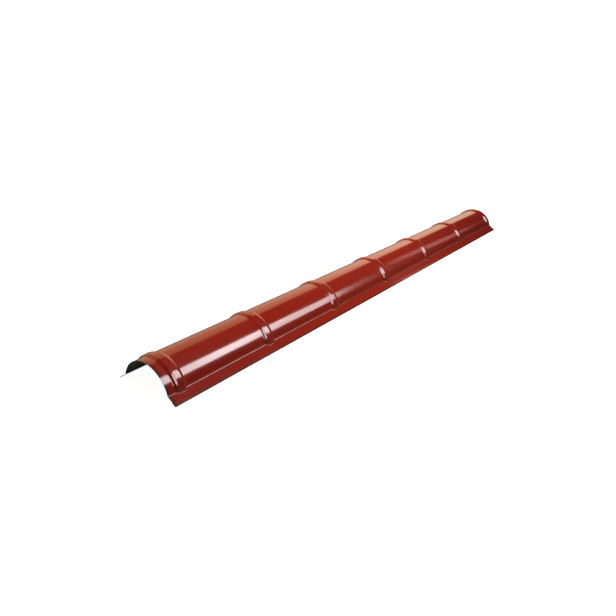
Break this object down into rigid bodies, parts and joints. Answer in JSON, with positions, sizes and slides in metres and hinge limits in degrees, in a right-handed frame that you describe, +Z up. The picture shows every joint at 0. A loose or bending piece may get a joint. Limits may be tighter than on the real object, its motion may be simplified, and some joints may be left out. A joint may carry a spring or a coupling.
{
  "type": "roof ridge cap",
  "caption": "Half-round roof ridge cap of coated steel sheet, with cross ribs along its barrel, a sloping flange with a folded edge on each side, and a plain lap at one end.",
  "frame": {"origin": "middle of the ridge cap's box, on the level that the hems of its two flanges rest on", "axes": "+X along the ridge, from the plain neck to the end with the last rib; +Y across the ridge; +Z up"},
  "size_m": [2, 0.213, 0.0857],
  "materials": {
    "coated_steel": "glossy red-brown coil coating outside, dark backing coat underneath"
  },
  "bodies": {
    "root": {"ridge_cap": "coated_steel"}
  },
  "joints": []
}
